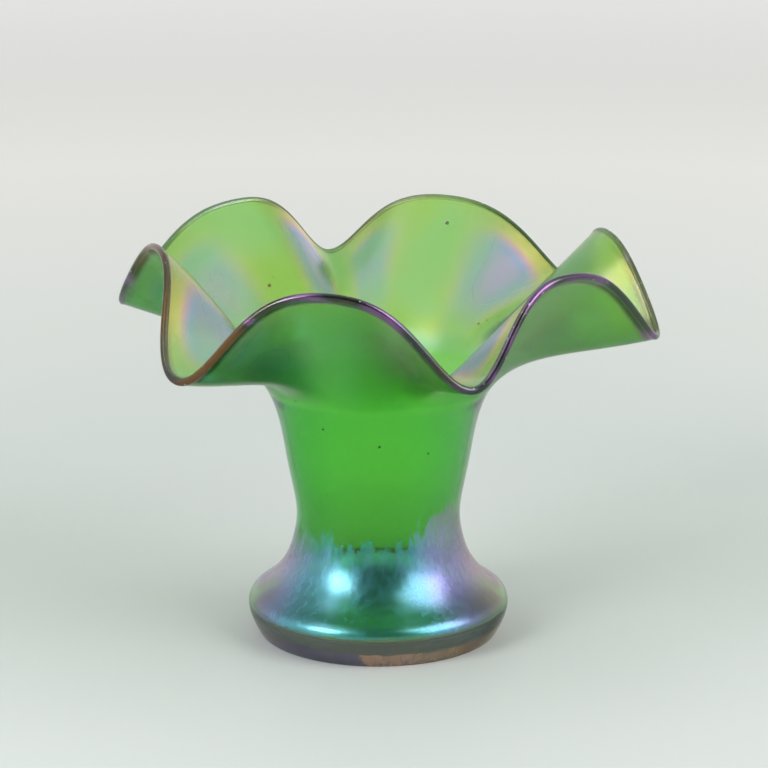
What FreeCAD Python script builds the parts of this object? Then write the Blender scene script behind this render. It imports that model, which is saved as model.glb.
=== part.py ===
import FreeCAD, Part
import math
import os
import Sketcher

# A mould-free blown glass vase: thick bottom, flattened cushion foot, waisted neck and a
# skirt crimped into six upstanding lobes with a fire-polished edge.
# Origin: centre of the flat resting ring. +Z up, sizes in millimetres.

doc = FreeCAD.newDocument("ruffled_vase")
sheet = doc.addObject("Spreadsheet::Sheet", "sizes")

# Control polygon of the outside profile, from the resting edge up to the throat.
outer_stations = [
    ("rest_edge", 48.0, 0.0),
    ("heel", 50.0, 3.0),
    ("belly", 53.5, 10.5),
    ("crown", 51.5, 16.5),
    ("shoulder", 46.0, 19.0),
    ("ankle", 37.0, 28.5),
    ("shin", 33.5, 40.5),
    ("waist", 32.0, 51.5),
    ("neck_low", 37.0, 71.0),
    ("neck_high", 39.5, 91.5),
    ("throat", 44.0, 100.0),
]

# Control polygon of the inside profile, from the cavity floor up to the throat.
inner_stations = [
    ("floor_edge", 34.0, 8.0),
    ("cavity_heel", 44.0, 8.0),
    ("cavity_belly", 51.5, 10.0),
    ("cavity_crown", 48.0, 14.5),
    ("cavity_shoulder", 43.5, 17.5),
    ("bore_ankle", 35.0, 26.5),
    ("bore_shin", 31.0, 40.0),
    ("bore_waist", 29.5, 51.5),
    ("bore_low", 34.4, 71.5),
    ("bore_high", 36.8, 92.0),
    ("bore_throat", 41.2, 100.0),
]

# The crimped edge: alternate dips and crests, counter-clockwise from the front left.
# Angle in degrees from +X, radius and height of the middle of the rounded edge.
edge_stations = [
    ("dip_one", -130.0, 114.0, 126.0),
    ("crest_one", -101.0, 106.0, 162.0),
    ("dip_two", -71.0, 106.0, 126.0),
    ("crest_two", -46.0, 99.0, 161.0),
    ("dip_three", -10.0, 110.0, 126.5),
    ("crest_three", 19.0, 97.0, 156.5),
    ("dip_four", 40.0, 108.0, 126.0),
    ("crest_four", 76.0, 105.0, 156.5),
    ("dip_five", 102.0, 102.0, 133.0),
    ("crest_five", 124.0, 100.0, 159.0),
    ("dip_six", 164.0, 106.5, 129.0),
    ("crest_six", 198.0, 88.5, 162.5),
]

sizes = {
    "bottom_radius": 36.0,
    "bottom_zone_top": 12.0,
    "rest_height": 0.0,
    "kick_height": 1.2,
    "pontil_radius": 13.0,
    "pontil_top": 3.0,
    "foot_top": 34.0,
    "zone_radius": 60.0,
    "skirt_wall": 2.5,
    "lip_thickness": 3.0,
    "crest_breadth": 0.43,
    "dip_lip_slope": 15.0,
    "crest_lip_slope": 42.0,
    "dip_throat_reach": 22.0,
    "crest_throat_reach": 18.0,
    "dip_lip_reach": 34.0,
    "crest_lip_reach": 26.0,
}
for name, radius, height in outer_stations + inner_stations:
    sizes[name + "_radius"] = radius
    sizes[name + "_height"] = height
for name, angle, radius, height in edge_stations:
    sizes[name + "_angle"] = angle
    sizes[name + "_radius"] = radius
    sizes[name + "_height"] = height

for row, alias in enumerate(sizes, start=1):
    sheet.set("A%d" % row, alias.replace("_", " "))
    sheet.set("B%d" % row, str(sizes[alias]))
    sheet.setAlias("B%d" % row, alias)
doc.recompute()


def size(alias):
    return float(sheet.get(alias))


def half_plane(radius, height):
    return FreeCAD.Vector(radius, height, 0.0)


def set_distance(sketch, kind, geometry, position, alias):
    """Holds one point of a half-plane sketch at a radius (X) or a height (Y) from the sheet."""
    number = sketch.addConstraint(
        Sketcher.Constraint(kind, -1, 1, geometry, position, size(alias))
    )
    sketch.setExpression("Constraints[%d]" % number, "sizes." + alias)


def add_profile_curve(sketch, stations):
    """A clamped cubic spline whose every control point is a named station."""
    names = [station[0] for station in stations]
    points = [half_plane(size(name + "_radius"), size(name + "_height")) for name in names]
    curve = Part.BSplineCurve()
    inner_knots = len(points) - 4
    knots = [i / (inner_knots + 1.0) for i in range(inner_knots + 2)]
    multiplicities = [4] + [1] * inner_knots + [4]
    curve.buildFromPolesMultsKnots(points, multiplicities, knots, False, 3)
    spline = sketch.addGeometry(curve, False)
    for i, point in enumerate(points):
        marker = Part.Circle(point, FreeCAD.Vector(0, 0, 1), 1.0)
        circle = sketch.addGeometry(marker, True)
        if i == 0:
            first_circle = circle
            sketch.addConstraint(Sketcher.Constraint("Weight", circle, 1.0))
        else:
            sketch.addConstraint(Sketcher.Constraint("Equal", first_circle, circle))
        sketch.addConstraint(
            Sketcher.Constraint(
                "InternalAlignment:Sketcher::BSplineControlPoint", circle, 3, spline, i
            )
        )
        set_distance(sketch, "DistanceX", circle, 3, names[i] + "_radius")
        set_distance(sketch, "DistanceY", circle, 3, names[i] + "_height")
    return spline


# The whole round wall from the bottom up to the throat, turned about +Z.
blank = doc.addObject("PartDesign::Body", "round_wall")
upright = [o for o in blank.Origin.OriginFeatures if o.Role == "XZ_Plane"][0]
profile = blank.newObject("Sketcher::SketchObject", "wall_profile")
profile.AttachmentSupport = [(upright, "")]
profile.MapMode = "FlatFace"

outer_curve = add_profile_curve(profile, outer_stations)
inner_curve = add_profile_curve(profile, inner_stations)
rest = half_plane(size("rest_edge_radius"), 0.0)
ring_inside = half_plane(size("bottom_radius"), 0.0)
pontil_rim = half_plane(size("pontil_radius"), size("kick_height"))
pontil_top = half_plane(0.0, size("pontil_top"))
floor_middle = half_plane(0.0, size("floor_edge_height"))
floor_edge = half_plane(size("floor_edge_radius"), size("floor_edge_height"))
throat_outer = half_plane(size("throat_radius"), size("throat_height"))
throat_inner = half_plane(size("bore_throat_radius"), size("bore_throat_height"))
outline = [
    (throat_outer, throat_inner),
    (floor_edge, floor_middle),
    (floor_middle, pontil_top),
    (pontil_top, pontil_rim),
    (pontil_rim, ring_inside),
    (ring_inside, rest),
]
lines = [profile.addGeometry(Part.LineSegment(a, b), False) for a, b in outline]
joins = [
    (outer_curve, 2, lines[0], 1),
    (inner_curve, 2, lines[0], 2),
    (inner_curve, 1, lines[1], 1),
    (lines[1], 2, lines[2], 1),
    (lines[2], 2, lines[3], 1),
    (lines[3], 2, lines[4], 1),
    (lines[4], 2, lines[5], 1),
    (lines[5], 2, outer_curve, 1),
]
for first, first_end, second, second_end in joins:
    profile.addConstraint(
        Sketcher.Constraint("Coincident", first, first_end, second, second_end)
    )
profile.addConstraint(Sketcher.Constraint("Horizontal", lines[1]))
profile.addConstraint(Sketcher.Constraint("Horizontal", lines[5]))
profile.addConstraint(Sketcher.Constraint("PointOnObject", lines[2], 1, -2))
profile.addConstraint(Sketcher.Constraint("PointOnObject", lines[3], 1, -2))
set_distance(profile, "DistanceY", lines[3], 1, "pontil_top")
set_distance(profile, "DistanceX", lines[4], 1, "pontil_radius")
set_distance(profile, "DistanceY", lines[4], 1, "kick_height")
set_distance(profile, "DistanceX", lines[5], 1, "bottom_radius")

turned = blank.newObject("PartDesign::Revolution", "turned_wall")
turned.Profile = profile
turned.ReferenceAxis = (profile, ["V_Axis"])
turned.Angle = 360.0
doc.recompute()


def zone(name, radius_alias, low_alias, high_alias):
    """A cylinder about +Z that holds the glass between two heights."""
    cylinder = doc.addObject("Part::Cylinder", name)
    cylinder.setExpression("Radius", "sizes." + radius_alias)
    cylinder.setExpression("Height", "sizes.%s - sizes.%s" % (high_alias, low_alias))
    cylinder.setExpression("Placement.Base.z", "sizes." + low_alias)
    return cylinder


def shared_glass(name, wall, cylinder):
    common = doc.addObject("Part::Common", name)
    common.Base = wall
    common.Tool = cylinder
    return common


# Bottom: the thick disc the pontil rod was stuck to, with its ground hollow.
bottom_zone = zone("bottom_zone", "bottom_radius", "rest_height", "bottom_zone_top")
base_disc = shared_glass("base_disc", blank, bottom_zone)

# Foot: the flattened bulge around the bottom, up to where it has drawn in to the neck.
side_wall = doc.addObject("Part::Cut", "side_wall")
side_wall.Base = blank
side_wall.Tool = bottom_zone
foot_zone = zone("foot_zone", "zone_radius", "rest_height", "foot_top")
cushion_foot = shared_glass("cushion_foot", side_wall, foot_zone)

# Neck: the waisted tube from the foot to the throat.
neck_zone = zone("neck_zone", "zone_radius", "foot_top", "throat_height")
neck = shared_glass("neck", blank, neck_zone)


# Skirt: the middle of its wall is a family of half-plane curves, one for each angle round
# the axis, from the throat circle to the crimped edge.
lip_radius = size("lip_thickness") / 2.0
half_wall = size("skirt_wall") / 2.0
lip_set_out = math.sqrt(lip_radius**2 - half_wall**2)
edge_angles = [size(station[0] + "_angle") for station in edge_stations]
edge_radii = [size(station[0] + "_radius") for station in edge_stations]
edge_heights = [size(station[0] + "_height") for station in edge_stations]
throat_radius = (size("throat_radius") + size("bore_throat_radius")) / 2.0
throat_rise = math.atan2(
    size("throat_height") - size("neck_high_height"),
    size("throat_radius") - size("neck_high_radius"),
)


def mix(low, high, share):
    return low + (high - low) * share


def crimp(angle):
    """Radius, height and crest share (0 in a dip, 1 on a crest) of the edge at an angle."""
    turn = edge_angles[0] + (angle - edge_angles[0]) % 360.0
    count = len(edge_angles)
    here = max(i for i in range(count) if edge_angles[i] <= turn)
    following = (here + 1) % count
    following_angle = edge_angles[following] + (360.0 if following == 0 else 0.0)
    across = (turn - edge_angles[here]) / (following_angle - edge_angles[here])
    dip, crest = (here, following) if here % 2 == 0 else (following, here)
    from_dip = across if here % 2 == 0 else 1.0 - across
    phase = math.pi * from_dip + size("crest_breadth") * math.sin(math.pi * from_dip)
    share = (1.0 - math.cos(phase)) / 2.0
    radius = mix(edge_radii[dip], edge_radii[crest], share)
    height = mix(edge_heights[dip], edge_heights[crest], share)
    return radius, height, share


def skirt_middle(angle, along):
    """A point in the middle of the skirt's wall; along runs from 0 at the throat to 1."""
    radius, height, share = crimp(angle)
    slope = math.radians(mix(size("dip_lip_slope"), size("crest_lip_slope"), share))
    start_reach = mix(size("dip_throat_reach"), size("crest_throat_reach"), share)
    end_reach = mix(size("dip_lip_reach"), size("crest_lip_reach"), share)
    end_radius = radius - lip_set_out * math.cos(slope)
    end_height = height - lip_set_out * math.sin(slope)
    controls = [
        (throat_radius, size("throat_height")),
        (
            throat_radius + start_reach * math.cos(throat_rise),
            size("throat_height") + start_reach * math.sin(throat_rise),
        ),
        (end_radius - end_reach * math.cos(slope), end_height - end_reach * math.sin(slope)),
        (end_radius, end_height),
    ]
    back = 1.0 - along
    weights = [back**3, 3.0 * back**2 * along, 3.0 * back * along**2, along**3]
    r = sum(w * c[0] for w, c in zip(weights, controls))
    z = sum(w * c[1] for w, c in zip(weights, controls))
    bearing = math.radians(angle)
    return FreeCAD.Vector(r * math.cos(bearing), r * math.sin(bearing), z)


def skirt_frame(angle, along):
    """The wall's outward normal, and the direction in the wall that leads off its edge."""
    step = 0.01
    around = skirt_middle(angle + 0.1, along) - skirt_middle(angle - 0.1, along)
    outwards = skirt_middle(angle, along + step) - skirt_middle(angle, along - step)
    around.normalize()
    normal = around.cross(outwards)
    normal.normalize()
    off_edge = normal.cross(around)
    return normal, off_edge


ring_points = 72
ring_arcs = 12
ring_angles = [360.0 * i / ring_points for i in range(ring_points)]


def ring(points):
    """A smooth closed wire through the points, in equal arcs so that each face stays simple."""
    curve = Part.BSplineCurve()
    curve.interpolate(Points=points, PeriodicFlag=True, Parameters=ring_angles + [360.0])
    cuts = [360.0 * i / ring_arcs for i in range(ring_arcs + 1)]
    return Part.Wire([Part.Edge(curve, a, b) for a, b in zip(cuts, cuts[1:])])


skin_steps = [0.0, 0.08, 0.18, 0.3, 0.44, 0.58, 0.72, 0.86, 1.0]


def skin(side):
    """Rings over one face of the skirt: side is +1 for the outside, -1 for the inside."""
    radius = size("throat_radius") if side > 0 else size("bore_throat_radius")
    height = size("throat_height")
    rings = []
    for along in skin_steps:
        points = []
        for angle in ring_angles:
            bearing = math.radians(angle)
            circle_point = FreeCAD.Vector(
                radius * math.cos(bearing), radius * math.sin(bearing), height
            )
            normal = skirt_frame(angle, along)[0]
            wall_point = skirt_middle(angle, along) + normal * (side * half_wall)
            points.append(circle_point if along == 0.0 else wall_point)
        rings.append(ring(points))
    return rings


def loft(rings):
    return Part.makeLoft(rings, False, False)


def closed_solid(*surfaces):
    shell = Part.Compound([face for surface in surfaces for face in surface.Faces])
    shell.sewShape(0.001)
    return Part.Solid(shell.Shells[0])


outer_rings = skin(1)
inner_rings = skin(-1)
throat_ring = Part.makeFace([outer_rings[0], inner_rings[0]], "Part::FaceMakerBullseye")
edge_strip = Part.makeRuledSurface(outer_rings[-1], inner_rings[-1])
collar = doc.addObject("Part::Feature", "ruffled_collar")
collar.Shape = closed_solid(loft(outer_rings), loft(inner_rings), throat_ring, edge_strip)

# Lip: the edge softened in the fire into a round bead, seated on the end of the skirt.
seat_turn = math.pi - math.asin(half_wall / lip_radius)
lip_steps = 12
lip_rings = []
for step in range(lip_steps + 1):
    swing = seat_turn * (1.0 - 2.0 * step / lip_steps)
    points = []
    for angle in ring_angles:
        normal, off_edge = skirt_frame(angle, 1.0)
        middle = skirt_middle(angle, 1.0) + off_edge * lip_set_out
        points.append(
            middle
            + off_edge * (lip_radius * math.cos(swing))
            + normal * (lip_radius * math.sin(swing))
        )
    lip_rings.append(ring(points))
seat_strip = Part.makeRuledSurface(lip_rings[0], lip_rings[-1])
lip = doc.addObject("Part::Feature", "lip_bead")
lip.Shape = closed_solid(loft(lip_rings), seat_strip)
doc.recompute()

nodes = [base_disc, cushion_foot, neck, collar, lip]
names = ["base_disc", "cushion_foot", "neck", "ruffled_collar", "lip_bead"]
for node, name in zip(nodes, names):
    node.Label = name
    node.Placement = FreeCAD.Placement()
doc.recompute()

for item in doc.Objects:
    if "Invalid" in item.State or "Error" in item.State:
        raise RuntimeError(item.Name + " is " + str(item.State))
for node in nodes:
    if node.Shape.isNull() or not node.Shape.isValid():
        raise RuntimeError(node.Label + " has no valid shape")

os.makedirs("parts", exist_ok=True)
for node in nodes:
    node.Shape.exportStep("parts/%s.step" % node.Label)
    print(node.Label, node.Shape.ShapeType, round(node.Shape.Volume, 1), node.Shape.BoundBox)
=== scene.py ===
import math
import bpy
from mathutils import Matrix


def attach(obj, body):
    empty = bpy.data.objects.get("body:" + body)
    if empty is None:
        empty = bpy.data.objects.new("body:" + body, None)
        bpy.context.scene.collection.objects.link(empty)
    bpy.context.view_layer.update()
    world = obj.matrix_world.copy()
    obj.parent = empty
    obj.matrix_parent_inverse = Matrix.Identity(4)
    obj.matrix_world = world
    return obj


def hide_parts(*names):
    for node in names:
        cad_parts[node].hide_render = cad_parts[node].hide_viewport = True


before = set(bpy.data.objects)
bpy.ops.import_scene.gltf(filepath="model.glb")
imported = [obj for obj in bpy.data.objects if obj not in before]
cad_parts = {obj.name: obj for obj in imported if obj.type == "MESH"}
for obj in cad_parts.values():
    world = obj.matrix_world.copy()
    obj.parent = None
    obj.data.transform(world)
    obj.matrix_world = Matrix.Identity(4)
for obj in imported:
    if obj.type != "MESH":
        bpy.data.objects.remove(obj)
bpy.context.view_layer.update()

from types import SimpleNamespace

import bpy
import numpy as np
from mathutils import Vector

MM = 0.001

# ---------------------------------------------------------------- shape of the glass, in mm

# Control points of the turned profiles, as radius and height; the same curves as in the CAD.
OUTER = [(48, 0), (50, 3), (53.5, 10.5), (51.5, 16.5), (46, 19), (37, 28.5), (33.5, 40.5),
         (32, 51.5), (37, 71), (39.5, 91.5), (44, 100)]
INNER = [(34, 8), (44, 8), (51.5, 10), (48, 14.5), (43.5, 17.5), (35, 26.5), (31, 40),
         (29.5, 51.5), (34.4, 71.5), (36.8, 92), (41.2, 100)]
# The underside is straight between these points: the pontil hollow, then the resting ring.
UNDERSIDE = [(0, 3), (4, 2.85), (8, 2.3), (13, 1.2), (36, 0), (42, 0), (48, 0)]
FLOOR_INSIDE = 8.0
FLOOR_INSIDE_RADIUS = 34.0

# The edge: dips and crests in turn, as angle (degrees), radius and height.
EDGE = np.array([
    (-130, 114, 126), (-101, 106, 162), (-71, 106, 126), (-46, 99, 161),
    (-10, 110, 126.5), (19, 97, 156.5), (40, 108, 126), (76, 105, 156.5),
    (102, 102, 133), (124, 100, 159), (164, 106.5, 129), (198, 88.5, 162.5)], float)
BREADTH = 0.43                             # how much broader the crests are than the dips
WALL = 2.5
LIP = 3.0
SET_OUT = math.sqrt((LIP / 2) ** 2 - (WALL / 2) ** 2)
THROAT = np.array([42.6, 100.0])
THROAT_RISE = math.atan2(8.5, 4.5)

AROUND = 600                               # points in each ring
PROFILE_STEPS = 150
BEAD_HALF = 8                              # rings from the bead's seat to its tip


def spline(poles, count):
    """Points on a clamped uniform cubic spline (de Boor)."""
    poles = np.array(poles, float)
    spans = len(poles) - 3
    knots = np.concatenate([[0] * 3, np.linspace(0, 1, spans + 1), [1] * 3])
    out = []
    for u in np.linspace(0, 1, count):
        k = min(np.searchsorted(knots, u, side="right") - 1, len(poles) - 1)
        d = [poles[j + k - 3].copy() for j in range(4)]
        for r in range(1, 4):
            for j in range(3, r - 1, -1):
                low = knots[j + k - 3]
                share = (u - low) / (knots[j + 1 + k - r] - low)
                d[j] = (1 - share) * d[j - 1] + share * d[j]
        out.append(d[3])
    return np.array(out)


def crimp(angle):
    """Radius, height and crest share of the edge at each angle."""
    start = EDGE[0, 0]
    turn = start + (angle - start) % 360.0
    here = np.searchsorted(EDGE[:, 0], turn, side="right") - 1
    following = (here + 1) % len(EDGE)
    next_angle = EDGE[following, 0] + np.where(following == 0, 360.0, 0.0)
    across = (turn - EDGE[here, 0]) / (next_angle - EDGE[here, 0])
    rising = here % 2 == 0
    dip = np.where(rising, here, following)
    crest = np.where(rising, following, here)
    u = np.where(rising, across, 1 - across)
    share = (1 - np.cos(math.pi * u + BREADTH * np.sin(math.pi * u))) / 2
    radius = EDGE[dip, 1] + (EDGE[crest, 1] - EDGE[dip, 1]) * share
    height = EDGE[dip, 2] + (EDGE[crest, 2] - EDGE[dip, 2]) * share
    return radius, height, share


def skirt(angle, along):
    """The middle of the skirt's wall: along is 0 at the throat and 1 at the edge."""
    radius, height, share = crimp(angle)
    slope = np.radians(15 + 27 * share)
    throat_reach = 22 - 4 * share
    edge_reach = 34 - 8 * share
    r1 = radius - SET_OUT * np.cos(slope)
    z1 = height - SET_OUT * np.sin(slope)
    rs = [THROAT[0], THROAT[0] + throat_reach * math.cos(THROAT_RISE),
          r1 - edge_reach * np.cos(slope), r1]
    zs = [THROAT[1], THROAT[1] + throat_reach * math.sin(THROAT_RISE),
          z1 - edge_reach * np.sin(slope), z1]
    b = 1 - along
    w = [b**3, 3 * b * b * along, 3 * b * along * along, along**3]
    r = sum(a * c for a, c in zip(w, rs))
    z = sum(a * c for a, c in zip(w, zs))
    t = np.radians(angle)
    return np.stack([r * np.cos(t), r * np.sin(t), z + 0 * t], -1)


def skirt_frame(angle, along):
    """The skirt's normal, pointing down and out, and the direction off its edge."""
    def unit(v):
        return v / np.linalg.norm(v, axis=-1, keepdims=True)
    around = unit(skirt(angle + 0.1, along) - skirt(angle - 0.1, along))
    outwards = skirt(angle, along + 0.01) - skirt(angle, along - 0.01)
    normal = unit(np.cross(around, outwards))
    return normal, np.cross(normal, around)


def turned(profile, angle):
    """One ring of points for each point of a profile."""
    t = np.radians(angle)
    return [np.stack([r * np.cos(t), r * np.sin(t), z + 0 * t], -1) for r, z in profile]


def evened(profile, count):
    """Points evenly spaced along a profile, without its two ends."""
    profile = np.array(profile, float)
    reach = np.concatenate([[0], np.cumsum(np.hypot(*np.diff(profile, axis=0).T))])
    steps = np.linspace(0, reach[-1], count)[1:-1]
    return np.stack([np.interp(steps, reach, profile[:, k]) for k in (0, 1)], -1)


outer = spline(OUTER, PROFILE_STEPS)
angle = np.arange(AROUND) * 360.0 / AROUND


def glass_rings():
    """Rings from under the foot, up the outside, over the bead and down to the floor inside.

    Each is its points, its place along the glass, and 1 if it is on the outer skin.
    Along is -1 on the floors, 0 on the turned body, up to 1 on the skirt, and over 1 on the bead.
    """
    rings = [(ring, -1.0, 0.0) for ring in turned(evened(UNDERSIDE, 30), angle)]
    rings += [(ring, 0.0, 1.0) for ring in turned(outer, angle)]
    skirt_steps = np.concatenate([np.linspace(0.05, 0.2, 14), np.linspace(0.2, 1, 76)[1:]])
    for a in skirt_steps:
        normal, _ = skirt_frame(angle, a)
        rings.append((skirt(angle, a) + normal * WALL / 2, a, 1.0))
    normal, off = skirt_frame(angle, 1.0)
    seat = math.pi - math.asin(WALL / LIP)
    middle = skirt(angle, 1.0) + off * SET_OUT
    for step in range(1, 2 * BEAD_HALF):
        swing = seat * (1 - step / BEAD_HALF)
        ring = middle + off * (LIP / 2 * math.cos(swing)) + normal * (LIP / 2 * math.sin(swing))
        rings.append((ring, 1.0 + 0.01 * step, 0.0))
    for a in skirt_steps[::-1]:
        normal, _ = skirt_frame(angle, a)
        rings.append((skirt(angle, a) - normal * WALL / 2, a, 0.0))
    rings += [(ring, 0.0, 0.0) for ring in turned(spline(INNER, PROFILE_STEPS)[::-1], angle)]
    inside = [(r, FLOOR_INSIDE) for r in np.linspace(FLOOR_INSIDE_RADIUS, 0, 16)[1:-1]]
    rings += [(ring, -1.0, 0.0) for ring in turned(inside, angle)]
    return rings


def glass_faces(count):
    """Quads between the rings, and a fan of triangles at each end."""
    ring = np.arange(AROUND)
    nxt = (ring + 1) % AROUND
    quads = np.concatenate([
        np.stack([low + ring, low + nxt, low + AROUND + nxt, low + AROUND + ring], -1)
        for low in range(0, (count - 1) * AROUND, AROUND)])
    first, last = count * AROUND, count * AROUND + 1
    top = (count - 1) * AROUND
    caps = [(first, int(b), int(a)) for a, b in zip(ring, nxt)]
    caps += [(last, int(a), int(b)) for a, b in zip(ring + top, nxt + top)]
    return quads.tolist() + caps


def mesh_piece(name, verts, faces, material):
    mesh = bpy.data.meshes.new(name)
    mesh.from_pydata([tuple(v) for v in verts], [], faces)
    mesh.polygons.foreach_set("use_smooth", [True] * len(mesh.polygons))
    mesh.materials.append(material)
    mesh.update()
    obj = bpy.data.objects.new(name, mesh)
    bpy.context.scene.collection.objects.link(obj)
    return obj


# ---------------------------------------------------------------- node helpers


class Nodes:
    """Short names for building a node tree."""

    def __init__(self, tree):
        self.tree = tree

    def add(self, kind, **values):
        node = self.tree.nodes.new(kind)
        for key, value in values.items():
            setattr(node, key, value)
        return node

    def put(self, socket, value):
        if hasattr(value, "is_output"):
            self.tree.links.new(value, socket)
        else:
            socket.default_value = value

    def math(self, operation, *values, clamp=False):
        node = self.add("ShaderNodeMath", operation=operation, use_clamp=clamp)
        for socket, value in zip(node.inputs, values):
            self.put(socket, value)
        return node.outputs[0]

    def plus(self, a, b):
        return self.math("ADD", a, b)

    def minus(self, a, b):
        return self.math("SUBTRACT", a, b)

    def times(self, first, *others):
        for other in others:
            first = self.math("MULTIPLY", first, other)
        return first

    def over(self, a, b):
        return self.math("DIVIDE", a, b)

    def most(self, a, b):
        return self.math("MAXIMUM", a, b)

    def without(self, mask, share=None):
        """1 minus a mask, or 1 minus a share of it."""
        return self.minus(1.0, mask if share is None else self.times(mask, share))

    def band(self, value, low, high, to_low=0.0, to_high=1.0):
        """A smooth step from to_low to to_high as value goes from low to high."""
        node = self.add("ShaderNodeMapRange", interpolation_type="SMOOTHSTEP")
        for socket, v in zip(node.inputs, (value, low, high, to_low, to_high)):
            self.put(socket, v)
        return node.outputs[0]

    def noise(self, vector, scale, detail=2.0, rough=0.5, distortion=0.0):
        node = self.add("ShaderNodeTexNoise")
        for name, value in (("Vector", vector), ("Scale", scale), ("Detail", detail),
                            ("Roughness", rough), ("Distortion", distortion)):
            self.put(node.inputs[name], value)
        return node.outputs["Fac"]

    def ramp(self, value, stops, interpolation="LINEAR"):
        node = self.add("ShaderNodeValToRGB")
        node.color_ramp.interpolation = interpolation
        elements = node.color_ramp.elements
        while len(elements) < len(stops):
            elements.new(0.5)
        for element, (place, colour) in zip(elements, stops):
            element.position = place
            element.color = (*colour, 1.0)
        self.put(node.inputs[0], value)
        return node.outputs[0]

    def mix_colour(self, share, *pair):
        """The first colour where share is 0 and the second where it is 1."""
        node = self.add("ShaderNodeMix", data_type="RGBA")
        self.put(node.inputs[0], share)
        for socket, colour in zip((node.inputs[6], node.inputs[7]), pair):
            self.put(socket, (*colour, 1.0) if isinstance(colour, tuple) else colour)
        return node.outputs[2]

    def stretch(self, vector, scale):
        node = self.add("ShaderNodeVectorMath", operation="MULTIPLY")
        self.put(node.inputs[0], vector)
        node.inputs[1].default_value = scale
        return node.outputs[0]

    def split(self, vector):
        node = self.add("ShaderNodeSeparateXYZ")
        self.put(node.inputs[0], vector)
        return node.outputs

    def attribute(self, name):
        return self.add("ShaderNodeAttribute", attribute_name=name).outputs["Fac"]

    def finish(self, output, **shaders):
        """Links the surface, and the volume if there is one, to the tree's output."""
        out = self.add(output)
        for name, shader in shaders.items():
            self.put(out.inputs[name], shader.outputs[0])


def new_material(name):
    material = bpy.data.materials.new(name)
    material.use_nodes = True
    material.node_tree.nodes.clear()
    return material, Nodes(material.node_tree)


# ---------------------------------------------------------------- glass with its film

ABSORB_PER_M = (450.0, 86.0, 690.0)        # what makes the glass green, per metre of glass
DENSITY = 1000.0

# Heights on the foot, in metres.
FILM_EDGE = 0.0435                         # where the foot's film ends, in front and at the left
FILM_EDGE_RISE = 0.009                     # higher at the right
FILM_EDGE_DROP = 0.027                     # lower at the back
RAGGED = 0.026
STREAKED = 0.032

# Thickness of the film, in nanometres.
FOOT_FILM = 180.0
FOOT_FILM_LESS_RIGHT = 26.0
FOOT_FILM_LESS_LEFT = 15.0
SKIRT_FILM = 106.0
SKIRT_FILM_MORE_INWARDS = 44.0
HUE_FROM, HUE_PER_NM = 100.0, 0.01         # the foot's colours run from 100 to 200 nm
HUE_SHIFT_GRAZING = 26.0

FOOT_COLOURS = [(0.0, (0.50, 0.32, 0.16)), (0.15, (0.48, 0.22, 0.28)), (0.35, (0.42, 0.20, 0.52)),
                (0.50, (0.24, 0.27, 0.68)), (0.66, (0.09, 0.38, 0.58)), (0.84, (0.04, 0.38, 0.36)),
                (1.0, (0.05, 0.34, 0.18))]
BASE_COLOURS = [(0.20, (0.14, 0.13, 0.18)), (0.40, (0.20, 0.16, 0.18)), (0.48, (0.66, 0.38, 0.18)),
                (0.80, (0.50, 0.36, 0.15))]
DRIP_TEAL = (0.02, 0.42, 0.22)
BARE_OLIVE = (0.15, 0.20, 0.11)
SKIRT_COLOURS = [(0.06, (0.74, 0.68, 0.16)), (0.18, (0.96, 0.74, 0.30)), (0.28, (0.94, 0.50, 0.56)),
                 (0.41, (0.72, 0.48, 0.90)), (0.58, (0.32, 0.46, 0.90)), (0.78, (0.62, 0.48, 0.80))]
OUTSIDE_FRONT, OUTSIDE_RIGHT, OUTSIDE_LEFT = (0.66, 0.36, 0.32), (0.20, 0.12, 0.12), (0.02, 0.34, 0.22)
BEAD_COLOURS = [(0.36, (0.03, 0.04, 0.03)), (0.44, (0.05, 0.05, 0.05)), (0.49, (0.26, 0.10, 0.30)),
                (0.54, (0.04, 0.035, 0.04)), (0.64, (0.17, 0.07, 0.03))]
GLASS_TINT = [(0.05, (0.97, 1.0, 0.95)), (0.5, (1.0, 0.95, 0.70))]


def surface_places(n):
    """Where a point of the surface is. Right and back are from -1 to 1."""
    place = n.add("ShaderNodeTexCoord").outputs["Object"]
    x, y, z = n.split(place)
    turn = n.math("ARCTAN2", y, x)
    right = n.math("COSINE", turn)
    back = n.math("SINE", turn)
    around = n.add("ShaderNodeCombineXYZ")
    for socket, value in zip(around.inputs, (right, back, n.times(z, 14.0))):
        n.put(socket, value)
    around = around.outputs[0]
    return SimpleNamespace(
        place=place, z=z, right=right, back=back, around=around,
        along=n.attribute("along"), skin=n.attribute("outside"), flank=n.attribute("flank"),
        patch=n.noise(around, 3.1, 4.0, 0.62),
        swing=n.minus(n.noise(place, 13.0, 2.0, 0.5, 0.2), 0.5),
        fine=n.noise(n.stretch(place, (1.0, 1.0, 0.25)), 420.0, 3.0, 0.6))


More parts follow.
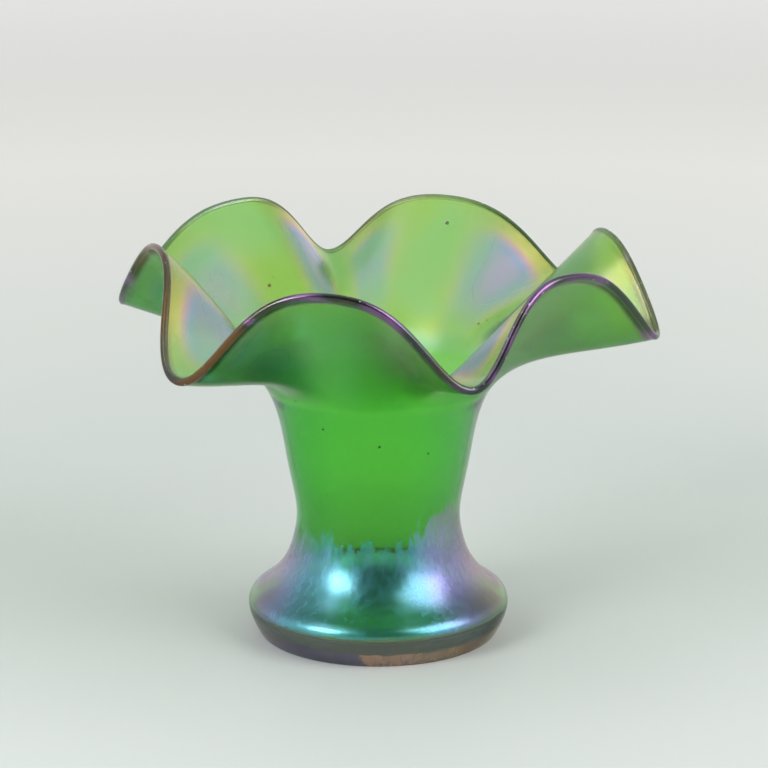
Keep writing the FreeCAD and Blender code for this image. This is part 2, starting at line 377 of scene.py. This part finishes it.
def foot_film(n, at):
    """Film on the foot: below a ragged, streaked edge that is higher at the right."""
    ragged = n.noise(at.around, 2.2, 3.0, 0.6)
    streaks = n.noise(n.stretch(at.around, (5.5, 5.5, 2.6)), 1.6, 5.0, 0.68)
    edge = n.plus(FILM_EDGE, n.times(n.band(at.right, 0.15, 0.6), FILM_EDGE_RISE))
    edge = n.minus(edge, n.times(n.band(at.back, -0.1, 0.5), FILM_EDGE_DROP))
    edge = n.plus(edge, n.times(n.minus(ragged, 0.5), RAGGED))
    edge = n.plus(edge, n.times(n.minus(streaks, 0.5), STREAKED))
    below_edge = n.minus(edge, at.z)
    cover = n.times(n.band(below_edge, -0.0004, 0.0008), n.band(below_edge, 0.0, 0.013, 0.66, 1.0))

    # A nearly bare band runs round the bottom of the bulge.
    band_top = n.plus(0.0105, n.times(at.patch, 0.004))
    band_low = n.minus(0.0095, n.times(at.patch, 0.007))
    bare = n.times(n.band(n.minus(band_top, at.z), -0.0005, 0.0010),
                   n.band(n.minus(at.z, band_low), -0.0003, 0.0006))
    cover = n.times(cover, n.without(bare, 0.6))

    # The film thins out at the right and left ends of the bulge.
    far_side = n.most(n.band(at.right, 0.55, 0.90), n.band(at.right, -0.78, -1.0))
    far_side = n.times(far_side, n.band(at.z, 0.028, 0.018))
    cover = n.times(cover, n.without(far_side, 0.75), at.skin)
    drips = n.times(n.band(below_edge, 0.011, 0.001), n.band(at.right, 0.55, 0.10))
    return SimpleNamespace(cover=cover, bare=bare, drips=drips)


def bead_cover(n, at):
    """The dark edge bead, and a strip of the outer skin below it; paler inside and at the back."""
    front_half = n.band(at.back, 0.35, 0.0)
    below = n.times(at.skin, front_half, n.band(at.along, 0.958, 0.99))
    bead = n.times(n.most(n.band(at.along, 0.995, 1.01), below), n.band(at.along, 1.13, 1.05, 0.15, 1.0))
    return n.times(bead, n.plus(0.5, n.times(front_half, 0.5)))


def film_colour(n, at, foot, bead, foot_nm, turned_away):
    """Colour of the lustre on the foot, on the skirt and on the bead."""
    hue = n.minus(foot_nm, n.times(turned_away, HUE_SHIFT_GRAZING))
    on_foot = n.ramp(n.times(n.minus(hue, HUE_FROM), HUE_PER_NM), FOOT_COLOURS)
    on_foot = n.mix_colour(n.times(foot.drips, 0.8), on_foot, DRIP_TEAL)
    at_base = n.ramp(n.plus(n.times(at.right, 0.45), at.patch), BASE_COLOURS)
    on_foot = n.mix_colour(n.band(at.z, 0.0065, 0.0095), at_base, on_foot)
    on_foot = n.mix_colour(foot.bare, on_foot, BARE_OLIVE)

    # Inside the skirt, the slopes between crests and dips go from yellow to pink, lilac and blue.
    slope = n.times(at.flank, n.band(at.along, 0.99, 0.80))
    pearl = n.plus(n.times(slope, 0.72), n.times(at.swing, 0.8))
    on_skirt = n.ramp(pearl, SKIRT_COLOURS, "B_SPLINE")
    outside = n.mix_colour(n.band(at.right, 0.35, 0.65), OUTSIDE_FRONT, OUTSIDE_RIGHT)
    outside = n.mix_colour(n.band(at.right, -0.30, -0.50), outside, OUTSIDE_LEFT)
    on_skirt = n.mix_colour(n.times(at.skin, 0.8), on_skirt, outside)

    on_bead = n.ramp(n.noise(at.place, 19.0, 2.0, 0.5), BEAD_COLOURS)
    colour = n.mix_colour(n.most(foot.cover, n.band(at.along, 0.02, 0.0)), on_skirt, on_foot)
    return n.mix_colour(n.most(bead, n.band(at.along, 0.995, 1.01)), colour, on_bead)


def lustre_share(n, at, foot, bead, skirt_cover, turned_away):
    """How much of the surface is metallic lustre instead of clear glass; in places raised as painted
    highlight and sheen, and lowered as painted shade.
    """
    grazing = n.times(turned_away, turned_away)
    sheen = n.times(grazing, n.minus(0.30, n.times(at.skin, 0.20)))
    # Painted highlight: more lustre on the back right slopes, brightening the right lamp's reflection
    # there.
    painted_highlight_back_right = n.times(n.band(at.right, 0.30, 0.50), n.band(at.back, 0.55, 0.75))
    on_slope = n.minus(0.42, n.times(at.skin, 0.16))
    on_slope = n.plus(on_slope, n.times(painted_highlight_back_right, 0.22))
    sheen = n.plus(sheen, n.times(at.flank, n.band(at.along, 0.25, 0.70), on_slope))
    # Painted shade: less lustre at the far right end of the skirt, dimming the lamps' reflection there.
    sheen = n.times(sheen, n.band(at.right, 0.80, 0.97, 1.0, 0.45))
    share = n.plus(n.times(foot.cover, n.band(at.fine, 0.30, 0.70, 0.44, 0.60)),
                   n.times(skirt_cover, n.plus(0.05, sheen)))

    # A thin veil at the back, above the film's lower edge there; and painted sheen, lustre at the grazing
    # sides of the bare neck.
    veil = n.times(n.band(at.back, -0.1, 0.4), at.skin, n.band(at.z, 0.075, 0.026))
    share = n.plus(share, n.times(veil, 0.25))
    bare_neck_painted_sheen = n.times(at.skin, n.band(at.along, 0.06, 0.0), n.without(foot.cover))
    share = n.plus(share, n.times(grazing, bare_neck_painted_sheen, 0.30))
    return n.plus(n.times(share, n.without(bead)), n.times(bead, 0.80))


def glass_material():
    """Green glass with a thin film, and a layer of lustre where the film is thick."""
    material, n = new_material("green_lustre_glass")
    at = surface_places(n)
    foot = foot_film(n, at)
    bead = bead_cover(n, at)
    facing = n.add("ShaderNodeLayerWeight")
    facing.inputs["Blend"].default_value = 0.5
    turned_away = facing.outputs["Facing"]

    cloud = n.noise(at.place, 17.0, 2.0, 0.5, 0.3)
    skirt_cover = n.times(n.band(at.along, 0.0, 0.30), n.band(cloud, 0.32, 0.62, 0.40, 1.0))
    foot_nm = n.minus(n.minus(FOOT_FILM, n.times(n.band(at.right, 0.15, 0.75), FOOT_FILM_LESS_RIGHT)),
                      n.times(n.band(at.right, -0.60, -1.0), FOOT_FILM_LESS_LEFT))
    foot_nm = n.plus(foot_nm, n.times(at.swing, 50.0))
    inwards = n.math("SUBTRACT", 1.0, at.along, clamp=True)
    skirt_nm = n.plus(SKIRT_FILM, n.times(inwards, SKIRT_FILM_MORE_INWARDS))
    skirt_nm = n.plus(skirt_nm, n.times(at.swing, 40.0))
    coated = n.times(n.band(foot.cover, 0.0, 0.3), n.without(foot.bare, 0.6))
    thickness = n.plus(n.times(coated, foot_nm),
                       n.times(skirt_cover, n.without(at.skin, 0.85), skirt_nm))

    bump = n.add("ShaderNodeBump")
    bump.inputs["Distance"].default_value = 0.0005
    bump.inputs["Strength"].default_value = 0.25
    wave = n.noise(at.place, 38.0, 2.0, 0.5)
    n.put(bump.inputs["Height"], n.plus(wave, n.times(at.fine, foot.cover, 0.30)))

    glass = n.add("ShaderNodeBsdfPrincipled")
    n.put(glass.inputs["Base Color"], n.ramp(at.along, GLASS_TINT))
    glass.inputs["Transmission Weight"].default_value = 1.0
    glass.inputs["IOR"].default_value = 1.5
    glass.inputs["Thin Film IOR"].default_value = 1.8
    n.put(glass.inputs["Thin Film Thickness"], thickness)
    haze = n.plus(0.05, n.times(foot.cover, 0.18))
    n.put(glass.inputs["Roughness"], n.plus(haze, n.band(at.along, 0.0, 0.12, 0.0, 0.19)))
    n.put(glass.inputs["Normal"], bump.outputs[0])

    # The lustre carries the film's colour, also where a thin film can't be exported.
    lustre = n.add("ShaderNodeBsdfPrincipled")
    lustre.inputs["Metallic"].default_value = 1.0
    n.put(lustre.inputs["Coat Weight"], n.times(foot.cover, 0.75))
    lustre.inputs["Coat Roughness"].default_value = 0.26
    lustre.inputs["Coat IOR"].default_value = 2.1
    n.put(lustre.inputs["Base Color"], film_colour(n, at, foot, bead, foot_nm, turned_away))
    n.put(lustre.inputs["Roughness"],
          n.plus(n.band(at.fine, 0.3, 0.7, 0.28, 0.38), n.times(bead, -0.20)))
    n.put(lustre.inputs["Normal"], bump.outputs[0])

    mixed = n.add("ShaderNodeMixShader")
    n.put(mixed.inputs[0], lustre_share(n, at, foot, bead, skirt_cover, turned_away))
    n.put(mixed.inputs[1], glass.outputs[0])
    n.put(mixed.inputs[2], lustre.outputs[0])
    absorb = n.add("ShaderNodeVolumeAbsorption")
    absorb.inputs["Color"].default_value = (*[1 - a / DENSITY for a in ABSORB_PER_M], 1.0)
    absorb.inputs["Density"].default_value = DENSITY
    n.finish("ShaderNodeOutputMaterial", Surface=mixed, Volume=absorb)
    return material


rings = glass_rings()
points = np.concatenate([ring for ring, _, _ in rings] + [[[0, 0, UNDERSIDE[0][1]], [0, 0, FLOOR_INSIDE]]])
vase = mesh_piece("vase_glass", points * MM, glass_faces(len(rings)), glass_material())
along_of = np.array([along for _, along, _ in rings])
outside_of = np.array([outside for _, _, outside in rings])
crest_share = crimp(angle)[2]
steepness = 4 * crest_share * (1 - crest_share)
for name, values in (("along", np.repeat(along_of, AROUND)), ("outside", np.repeat(outside_of, AROUND)),
                     ("flank", np.outer(along_of > 0, steepness).ravel())):
    full = np.concatenate([values, [0.0, 0.0]]).astype(np.float32)
    vase.data.attributes.new(name, "FLOAT", "POINT").data.foreach_set("value", full)
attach(vase, "root")
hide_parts("base_disc", "cushion_foot", "neck", "ruffled_collar", "lip_bead")

# ---------------------------------------------------------------- marks in the glass

rng = np.random.default_rng(7)
BLOB_LATS, BLOB_LONS = 6, 8
FINE_MARK = (0.12, 0.26)                   # radius of the strewn marks, in mm
FINE_BUBBLE = (0.12, 0.25)
WALL_DEPTHS = (-0.8, 0.8)                  # from the middle of the skirt's wall
NECK_DEPTHS = (0.5, 1.4)                   # below the outer skin of the neck
NECK_HEIGHTS = (55, 98)


def blob_points(centre, size, ragged):
    """A small round or ragged lump, as a low sphere."""
    points = []
    for lat in np.linspace(0, math.pi, BLOB_LATS):
        for lon in np.arange(BLOB_LONS) * math.tau / BLOB_LONS:
            r = size * (1 + ragged * rng.uniform(-1, 1))
            points.append(centre + r * np.array([
                math.sin(lat) * math.cos(lon), math.sin(lat) * math.sin(lon), math.cos(lat)]))
    return points


def blob_piece(name, places, sizes, ragged, material):
    verts, faces = [], []
    for centre, size in zip(places, sizes):
        base = len(verts)
        verts += blob_points(centre, size, ragged)
        for i in range(BLOB_LATS - 1):
            low = base + BLOB_LONS * i
            high = low + BLOB_LONS
            faces += [(low + j, low + (j + 1) % BLOB_LONS, high + (j + 1) % BLOB_LONS, high + j)
                      for j in range(BLOB_LONS)]
    piece = mesh_piece(name, np.array(verts) * MM, faces, material)
    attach(piece, "root")


def in_skirt(turn, along, depth):
    turn = np.array([float(turn)])
    normal, _ = skirt_frame(turn, along)
    return (skirt(turn, along) + normal * depth)[0]


def in_neck(turn, height, depth):
    radius = np.interp(height, outer[:, 1], outer[:, 0]) - depth
    t = math.radians(turn)
    return np.array([radius * math.cos(t), radius * math.sin(t), height])


def on_bead():
    """A place just under the surface of the bead."""
    turn = np.array([rng.uniform(0, 360)])
    normal, off = skirt_frame(turn, 1.0)
    swing = rng.uniform(-1.2, 1.2)
    middle = skirt(turn, 1.0) + off * SET_OUT
    return (middle + 1.38 * (off * math.cos(swing) + normal * math.sin(swing)))[0]


def strew(count, place, radii):
    """Places and radii of marks, drawn in turn."""
    marks = [(place(), rng.uniform(*radii)) for _ in range(count)]
    return [mark[0] for mark in marks], [mark[1] for mark in marks]


def anywhere_in_skirt(low, high):
    return lambda: in_skirt(rng.uniform(0, 360), rng.uniform(low, high), rng.uniform(*WALL_DEPTHS))


def anywhere_in_neck():
    return in_neck(rng.uniform(0, 360), rng.uniform(*NECK_HEIGHTS), rng.uniform(*NECK_DEPTHS))


def plain_material(name, colour, rough, spread):
    """A grainy colour that goes up to spread times as bright."""
    material, n = new_material(name)
    shade = n.add("ShaderNodeBsdfPrincipled")
    grain = n.noise(n.add("ShaderNodeTexCoord").outputs["Object"], 900.0, 2.0, 0.5)
    bright = tuple(min(1.0, c * spread + 0.01) for c in colour)
    n.put(shade.inputs["Base Color"], n.ramp(grain, [(0.35, colour), (0.65, bright)]))
    n.put(shade.inputs["Roughness"], n.band(grain, 0.3, 0.7, rough, rough + 0.15))
    bump = n.add("ShaderNodeBump")
    bump.inputs["Distance"].default_value = 0.0001
    n.put(bump.inputs["Height"], grain)
    n.put(shade.inputs["Normal"], bump.outputs[0])
    n.finish("ShaderNodeOutputMaterial", Surface=shade)
    return material


# The larger specks are where the photograph shows them.
specks = [(in_skirt(72.0, 0.85, -0.3), 0.75), (in_skirt(131.4, 0.52, -0.3), 0.7),
          (in_skirt(226.0, 0.08, 0.4), 0.45), (in_neck(238.0, 92.8, 0.9), 0.4),
          (in_neck(270.6, 86.9, 0.9), 0.45), (in_neck(301.0, 82.4, 0.9), 0.4),
          (in_skirt(46.0, 0.38, -0.3), 0.5), (in_skirt(44.5, 0.44, -0.3), 0.4),
          (in_skirt(42.8, 0.52, -0.3), 0.35)]
places, sizes = [place for place, _ in specks], [size for _, size in specks]
for count, place in ((46, anywhere_in_skirt(0.15, 0.94)), (26, anywhere_in_neck)):
    more_places, more_sizes = strew(count, place, FINE_MARK)
    places += more_places
    sizes += more_sizes
blob_piece("carbon_specks", places, sizes, 0.35,
           plain_material("dark_speck", (0.012, 0.016, 0.010), 0.55, 1.6))

places, sizes = [], []
for count, place, radii in ((90, on_bead, (0.16, 0.30)), (40, anywhere_in_skirt(0.1, 0.95), FINE_BUBBLE),
                            (24, anywhere_in_neck, FINE_BUBBLE)):
    more_places, more_sizes = strew(count, place, radii)
    places += more_places
    sizes += more_sizes
# The bubbles are pale solid beads: their pale colour is a painted glint, standing in for the light an air
# bubble reflects.
blob_piece("seed_bubbles", places, sizes, 0.05,
           plain_material("bubble_painted_glint", (0.62, 0.74, 0.60), 0.12, 1.2))

# ---------------------------------------------------------------- studio

FLOOR_PAINTED_LIGHT_COLOURS = [(0.0, (0.585, 0.595, 0.605)), (0.15, (0.59, 0.64, 0.61)), (0.5, (0.93, 0.93, 0.89)),
                 (1.0, (0.93, 0.93, 0.92))]
FLOOR_PAINTED_GLOW = [(0.10, (0.0, 0.0, 0.0)), (0.35, (0.10, 0.095, 0.095)), (0.75, (0.46, 0.455, 0.445))]
FLOOR_SPOKES, FLOOR_RINGS = 96, 34
FLOOR_FIRST_RING, FLOOR_GROWTH = 0.0005, 1.35


def floor_material():
    """Pale floor with painted light: it grows brighter and glows further behind the vase, as the backdrop
    in the photograph does.
    """
    material, n = new_material("studio_floor")
    place = n.add("ShaderNodeTexCoord").outputs["Object"]
    length = n.add("ShaderNodeVectorMath", operation="LENGTH")
    n.put(length.inputs[0], place)
    length = length.outputs["Value"]
    behind = n.over(n.split(place)[1], n.most(length, 0.001))
    # Painted light: where the floor is not behind the vase, most of the brightening and glow is held back.
    elsewhere = n.times(n.band(length, 0.3, 0.8), n.band(behind, 0.70, 0.20))
    length = n.times(length, n.without(elsewhere, 0.8))
    shade = n.add("ShaderNodeBsdfPrincipled")
    # Painted light: the colour brightens with distance, and the far floor glows though it is no lamp.
    n.put(shade.inputs["Base Color"], n.ramp(n.times(length, 0.5), FLOOR_PAINTED_LIGHT_COLOURS))
    n.put(shade.inputs["Emission Color"], n.ramp(n.times(length, 0.25), FLOOR_PAINTED_GLOW))
    shade.inputs["Emission Strength"].default_value = 1.0
    shade.inputs["Roughness"].default_value = 0.55
    shade.inputs["Specular IOR Level"].default_value = 0.2
    n.finish("ShaderNodeOutputMaterial", Surface=shade)
    return material


def studio_floor():
    spokes = [math.tau * i / FLOOR_SPOKES for i in range(FLOOR_SPOKES)]
    verts = [(0, 0, 0)]
    for k in range(FLOOR_RINGS):
        r = FLOOR_FIRST_RING * FLOOR_GROWTH ** k
        verts += [(r * math.cos(t), r * math.sin(t), 0) for t in spokes]
    faces = [(0, 1 + i, 1 + (i + 1) % FLOOR_SPOKES) for i in range(FLOOR_SPOKES)]
    for k in range(FLOOR_RINGS - 1):
        a = 1 + FLOOR_SPOKES * k
        b = a + FLOOR_SPOKES
        faces += [(a + i, b + i, b + (i + 1) % FLOOR_SPOKES, a + (i + 1) % FLOOR_SPOKES)
                  for i in range(FLOOR_SPOKES)]
    return mesh_piece("studio_floor", verts, faces, floor_material())


def studio_world():
    """A pale surround, darker above and dark in front, which the foot reflects between its lights."""
    world = bpy.data.worlds.new("studio")
    bpy.context.scene.world = world
    world.use_nodes = True
    world.node_tree.nodes.clear()
    n = Nodes(world.node_tree)
    x, y, z = n.split(n.add("ShaderNodeTexCoord").outputs["Generated"])
    flat = n.math("SQRT", n.plus(n.times(x, x), n.times(y, y)))
    front = n.over(n.times(y, -1.0), n.most(flat, 0.02))
    dark = n.times(n.band(front, 0.62, 0.90), n.band(z, 0.08, 0.25), n.band(z, 0.97, 0.85))
    strength = n.minus(n.band(z, 0.30, 0.90, 0.94, 0.38), n.times(dark, 0.85))
    background = n.add("ShaderNodeBackground")
    background.inputs["Color"].default_value = (0.99, 1.0, 0.995, 1.0)
    n.put(background.inputs["Strength"], n.most(strength, 0.08))
    n.finish("ShaderNodeOutputWorld", Surface=background)


def softbox(name, azimuth, elevation, distance, width, height, watts):
    """An area light that faces the vase; azimuth 0 is the camera's side, positive to its right."""
    a, e = math.radians(azimuth), math.radians(elevation)
    back = Vector((math.sin(a) * math.cos(e), -math.cos(a) * math.cos(e), math.sin(e)))
    light = bpy.data.lights.new(name, "AREA")
    light.shape = "RECTANGLE"
    light.size, light.size_y = width, height
    light.energy = watts
    obj = bpy.data.objects.new(name, light)
    obj.location = Vector((0, 0, 0.06)) + back * distance
    obj.rotation_mode = "QUATERNION"
    obj.rotation_quaternion = back.to_track_quat("Z", "Y")
    obj.visible_camera = False
    bpy.context.scene.collection.objects.link(obj)


floor = studio_floor()
studio_world()
softbox("left_softbox", -51, 30, 1.3, 0.55, 0.6, 8.8)
softbox("right_softbox", 63, 38, 1.3, 1.0, 0.9, 10.5)
softbox("high_left_softbox", -62, 60, 1.3, 0.6, 0.5, 1.8)
softbox("top_softbox", 180, 78, 1.5, 1.6, 1.2, 3)

# ---------------------------------------------------------------- camera

CAMERA_ELEVATION = math.radians(16.06)
CAMERA_DISTANCE = 1.2                      # from a point on the vase's axis
AIM_HEIGHT = 0.080                         # the height of that point
AIM_UP = math.radians(0.998755)            # the camera looks this much above that point
AIM_RIGHT = math.radians(0.114591)         # and this much to its right

camera_data = bpy.data.cameras.new("camera")
camera_data.lens = 140.6
camera_data.sensor_width = 36.0
camera = bpy.data.objects.new("camera", camera_data)
camera.location = (0.0, -CAMERA_DISTANCE * math.cos(CAMERA_ELEVATION),
                   AIM_HEIGHT + CAMERA_DISTANCE * math.sin(CAMERA_ELEVATION))
pitch = CAMERA_ELEVATION - AIM_UP
forward = Vector((math.sin(AIM_RIGHT) * math.cos(pitch), math.cos(AIM_RIGHT) * math.cos(pitch),
                  -math.sin(pitch)))
camera.rotation_mode = "QUATERNION"
camera.rotation_quaternion = forward.to_track_quat("-Z", "Y")
bpy.context.scene.collection.objects.link(camera)
bpy.context.scene.camera = camera
bpy.context.scene.view_settings.view_transform = "Standard"
bpy.context.scene.cycles.use_denoising = True
bpy.context.scene.cycles.transmission_bounces = 16
bpy.context.scene.cycles.max_bounces = 20
